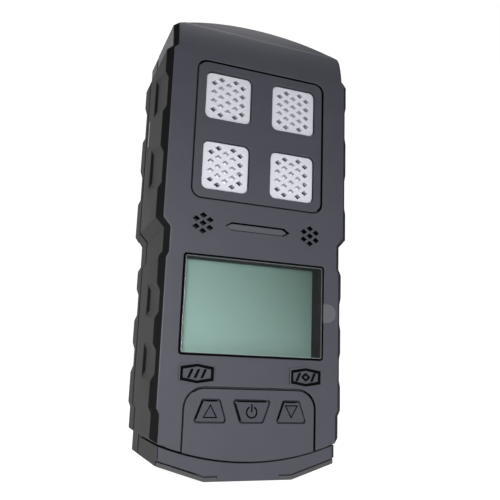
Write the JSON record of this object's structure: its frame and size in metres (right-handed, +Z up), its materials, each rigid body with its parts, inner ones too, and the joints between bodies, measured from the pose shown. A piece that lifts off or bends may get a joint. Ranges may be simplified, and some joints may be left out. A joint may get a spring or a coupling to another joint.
{
  "type": "portable gas detector",
  "caption": "Upright hand-held gas detector with square grilled sensor windows, a recessed display, press keys, sound holes, a spring belt clip and a lanyard bar.",
  "frame": {"origin": "middle of the flat base that the detector stands on, half way between its front and rear faces", "axes": "+Z up along the case, the display faces -Y, +X to the right as seen from the front"},
  "size_m": [0.0614, 0.0463, 0.1392],
  "materials": {
    "case_grey": "satin moulded ABS, dark grey",
    "rear_grey": "fine-grained moulded ABS, dark grey",
    "key_rubber": "matt silicone keys",
    "black_rubber": "matt black silicone and foam",
    "grille_white": "matt white moulded nylon",
    "filter_white": "white PTFE membrane",
    "cell_white": "off-white gas cell housing",
    "board_green": "solder-masked circuit board",
    "chip_black": "black epoxy packages",
    "clear_lens": "clear polycarbonate window",
    "clear_film": "thin clear protective film",
    "frame_black": "black display surround",
    "lcd_green": "grey-green liquid-crystal glass",
    "backlight_white": "white light guide",
    "light_grey": "smoke-tinted diffuser",
    "led_cream": "light-emitting diode packages",
    "speaker_black": "black buzzer housing and mesh",
    "battery_blue": "shrink-wrapped cell",
    "wire_red": "insulated wires",
    "steel": "stainless steel",
    "clip_steel": "satin nickel-plated steel",
    "weight_metal": "sintered tungsten weight",
    "contact_gold": "gold-plated contacts"
  },
  "bodies": {
    "case": {"front_shell": "case_grey", "rear_shell": "rear_grey", "case_seal": "black_rubber", "case_screws": "steel", "bottom_cap": "case_grey", "base_plate": "rear_grey", "base_screws": "steel", "contact_block": "chip_black", "charge_contacts": "contact_gold", "sensor_cover": "case_grey", "sensor_grille_1": "grille_white", "sensor_grille_2": "grille_white", "sensor_grille_3": "grille_white", "sensor_grille_4": "grille_white", "sensor_filter_1": "filter_white", "sensor_filter_2": "filter_white", "sensor_filter_3": "filter_white", "sensor_filter_4": "filter_white", "sensor_gasket": "black_rubber", "gas_sensor_1": "cell_white", "gas_sensor_2": "cell_white", "gas_sensor_3": "cell_white", "gas_sensor_4": "cell_white", "sensor_board": "board_green", "display_lens": "clear_lens", "screen_film": "clear_film", "display_frame": "frame_black", "lcd_panel": "lcd_green", "backlight": "backlight_white", "light_bar": "light_grey", "alarm_leds": "led_cream", "led_board": "board_green", "speaker_mesh_left": "speaker_black", "speaker_mesh_right": "speaker_black", "buzzer_left": "speaker_black", "buzzer_right": "speaker_black", "keypad_panel": "case_grey", "keypad_mat": "black_rubber", "tact_switches": "chip_black", "main_board": "board_green", "board_chips": "chip_black", "battery_holder": "chip_black", "battery": "battery_blue", "battery_pad": "black_rubber", "battery_lead": "wire_red", "vibration_motor": "steel", "motor_boot": "black_rubber", "lanyard_pin": "steel", "clip_base": "clip_steel", "clip_screws": "steel", "clip_pin": "steel", "clip_spring": "steel"},
    "up_key": {"up_button": "key_rubber"},
    "power_key": {"power_button": "key_rubber"},
    "down_key": {"down_button": "key_rubber"},
    "clip": {"clip_arm": "clip_steel"},
    "rotor": {"motor_weight": "weight_metal"}
  },
  "joints": [
    {"name": "up_press", "type": "slide", "parent": "case", "child": "up_key", "axis": [0, 1, 0], "range_m": [0, 0.0006], "stiffness_N_per_m": 1200, "springref_m": -0.0004},
    {"name": "power_press", "type": "slide", "parent": "case", "child": "power_key", "axis": [0, 1, 0], "range_m": [0, 0.0006], "stiffness_N_per_m": 1200, "springref_m": -0.0004},
    {"name": "down_press", "type": "slide", "parent": "case", "child": "down_key", "axis": [0, 1, 0], "range_m": [0, 0.0006], "stiffness_N_per_m": 1200, "springref_m": -0.0004},
    {"name": "clip_open", "type": "hinge", "parent": "case", "child": "clip", "pos_m": [0, 0.024, 0.112], "axis": [1, 0, 0], "range_deg": [0, 15], "stiffness_Nm_per_rad": 0.4, "springref_deg": -28.65},
    {"name": "rotor_spin", "type": "hinge", "parent": "case", "child": "rotor", "pos_m": [0.0085, 0.0109, 0.128], "axis": [1, 0, 0], "continuous": true}
  ]
}
